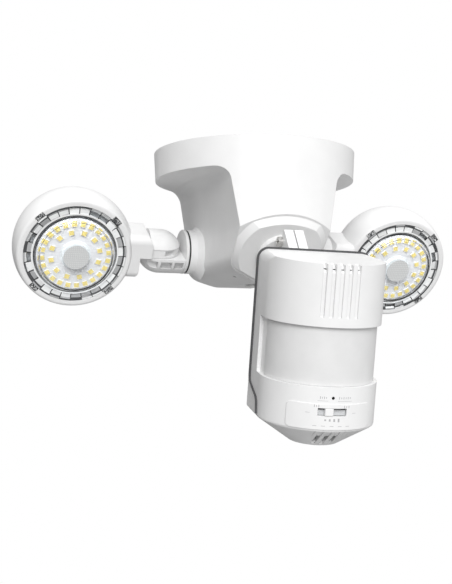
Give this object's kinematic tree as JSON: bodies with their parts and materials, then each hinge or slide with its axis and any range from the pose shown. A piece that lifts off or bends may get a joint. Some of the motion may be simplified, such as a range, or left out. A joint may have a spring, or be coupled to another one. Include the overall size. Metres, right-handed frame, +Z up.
{
  "type": "twin-head motion-sensor security light",
  "caption": "Ceiling or eave security light: round canopy with a deep column, two ball-jointed LED lamp heads and a motion sensor head with slide switch.",
  "frame": {"origin": "centre of the canopy's mounting plane, where the strap meets the ceiling box", "axes": "+Z up into the ceiling, -Y to the front (the sensor), +X to the right lamp along both lamp arms"},
  "size_m": [0.2876, 0.2122, 0.1712],
  "materials": {
    "white_housing": "satin moulded, fine spark texture",
    "white_joint": "moulded",
    "foam_seal": "closed-cell foam",
    "zinc_steel": "zinc plated",
    "nickel_screw": "nickel plated",
    "white_rubber": "soft",
    "green_screw": "dyed plating",
    "inner_plastic": "moulded",
    "black_rubber": "soft",
    "driver_case": "potted case",
    "heatsink": "extruded",
    "board_white": "white solder mask",
    "led_phosphor": "phosphor gel",
    "reflector": "frosted",
    "clear_plastic": "clear polycarbonate",
    "opal_lens": "opal polyethylene",
    "sensor_seal": "matt",
    "board_green": "solder mask",
    "nickel_can": "drawn can",
    "sensor_black": "window",
    "switch_grey": "moulded",
    "slider_white": "moulded"
  },
  "bodies": {
    "base": {"canopy_body": "white_housing", "canopy_gasket": "foam_seal", "mounting_strap": "zinc_steel", "center_bolt": "zinc_steel", "bolt_plug": "white_rubber", "ground_screw": "green_screw", "cover_plate": "inner_plastic", "cover_plate_screws": "zinc_steel", "wire_grommet": "black_rubber", "driver_module": "driver_case", "left_arm_seal": "black_rubber", "right_arm_seal": "black_rubber", "sensor_arm_seal": "white_rubber"},
    "left_arm": {"left_knuckle": "white_joint", "left_pivot_screw": "zinc_steel", "left_arm_washer": "zinc_steel", "left_arm_nut": "inner_plastic"},
    "left_head": {"left_head_shell": "white_housing", "left_head_neck": "white_joint", "left_neck_screws": "zinc_steel", "left_heatsink": "heatsink", "left_led_board": "board_white", "left_leds": "led_phosphor", "left_board_screw": "zinc_steel", "left_center_cap": "reflector", "left_lens_gasket": "white_rubber", "left_lens_ring": "clear_plastic", "left_lens_cover": "clear_plastic"},
    "right_arm": {"right_knuckle": "white_joint", "right_pivot_screw": "zinc_steel", "right_arm_washer": "zinc_steel", "right_arm_nut": "inner_plastic"},
    "right_head": {"right_head_shell": "white_housing", "right_head_neck": "white_joint", "right_neck_screws": "zinc_steel", "right_heatsink": "heatsink", "right_led_board": "board_white", "right_leds": "led_phosphor", "right_board_screw": "zinc_steel", "right_center_cap": "reflector", "right_lens_gasket": "white_rubber", "right_lens_ring": "clear_plastic", "right_lens_cover": "clear_plastic"},
    "sensor_arm": {"sensor_arm": "white_joint", "sensor_arm_washer": "zinc_steel", "sensor_arm_nut": "inner_plastic", "clamp_screw": "nickel_screw", "clamp_nut": "nickel_screw"},
    "sensor_head": {"sensor_back_shell": "white_housing", "sensor_gasket": "sensor_seal", "sensor_front_shell": "white_housing", "motion_lens": "opal_lens", "sensor_board": "board_green", "pyro_detector": "nickel_can", "light_sensor": "sensor_black", "switch_body": "switch_grey", "sensor_screws": "zinc_steel"},
    "mode_slider": {"mode_slider": "slider_white"}
  },
  "joints": [
    {"name": "left_arm_swivel", "type": "hinge", "parent": "base", "child": "left_arm", "pos_m": [-0.037, 0.03, -0.058], "axis": [1, 0, 0], "range_deg": [-60, 60]},
    {"name": "left_head_pan", "type": "hinge", "parent": "left_arm", "child": "left_head", "pos_m": [-0.0529, 0.03, -0.058], "axis": [0, -0.5, 0.866], "range_deg": [-40, 40]},
    {"name": "right_arm_swivel", "type": "hinge", "parent": "base", "child": "right_arm", "pos_m": [0.037, 0.03, -0.058], "axis": [1, 0, 0], "range_deg": [-60, 60]},
    {"name": "right_head_pan", "type": "hinge", "parent": "right_arm", "child": "right_head", "pos_m": [0.0529, 0.03, -0.058], "axis": [0, -0.5, 0.866], "range_deg": [-40, 40]},
    {"name": "sensor_swivel", "type": "hinge", "parent": "base", "child": "sensor_arm", "pos_m": [0, -0.0411, -0.0636], "axis": [0, -0.7071, -0.7071], "range_deg": [-60, 60]},
    {"name": "sensor_tilt", "type": "hinge", "parent": "sensor_arm", "child": "sensor_head", "pos_m": [0, -0.06, -0.072], "axis": [0.9913, -0.128, -0.0308], "range_deg": [-12, 30]},
    {"name": "mode_slide", "type": "slide", "parent": "sensor_head", "child": "mode_slider", "axis": [0.9913, -0.128, -0.0308], "range_m": [-0.0034, 0.0068]}
  ]
}
